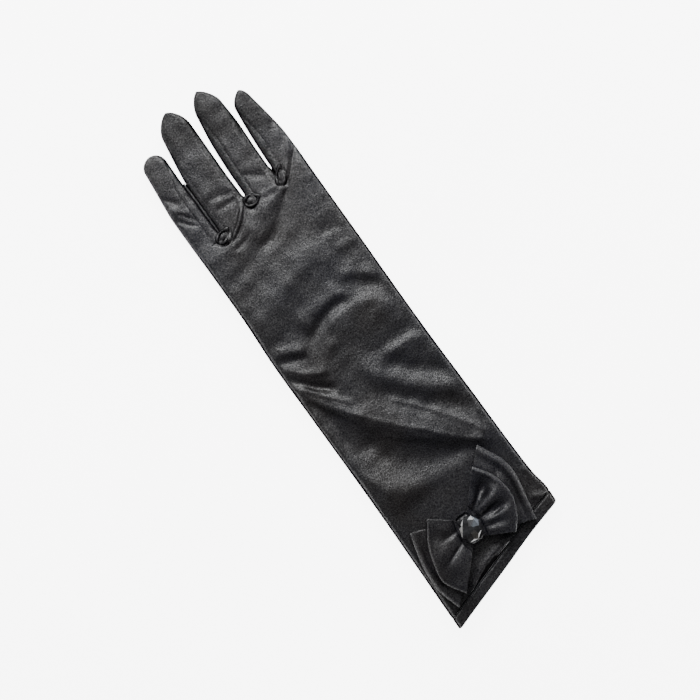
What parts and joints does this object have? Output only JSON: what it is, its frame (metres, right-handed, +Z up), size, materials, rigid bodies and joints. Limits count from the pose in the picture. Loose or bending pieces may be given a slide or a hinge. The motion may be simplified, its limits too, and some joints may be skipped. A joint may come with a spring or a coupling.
{
  "type": "long dress glove",
  "caption": "Long black satin dress glove for the left hand, lying flat, with a slanted cuff and a layered bow held by a knot under a clear grey faceted stone.",
  "frame": {"origin": "centre of the bounding box's bottom face, on the surface that the glove lies on", "axes": "+Y from the cuff to the fingertips, +X to the index finger's side, +Z up from the surface, out of the back of the hand"},
  "size_m": [0.0867, 0.33, 0.0234],
  "materials": {
    "satin": "satin",
    "gusset_satin": "satin",
    "ribbon_satin": "satin",
    "crystal": "polished"
  },
  "bodies": {
    "root": {"sleeve_lower": "satin", "sleeve_upper": "satin", "hand": "satin", "little_finger": "satin", "ring_finger": "satin", "middle_finger": "satin", "index_finger": "satin", "thumb": "satin", "cuff_hem": "satin", "fourchette_little_ring": "gusset_satin", "fourchette_ring_middle": "gusset_satin", "fourchette_middle_index": "gusset_satin", "bow_back": "ribbon_satin", "bow_front": "ribbon_satin", "bow_knot": "ribbon_satin", "stone": "crystal"}
  },
  "joints": []
}
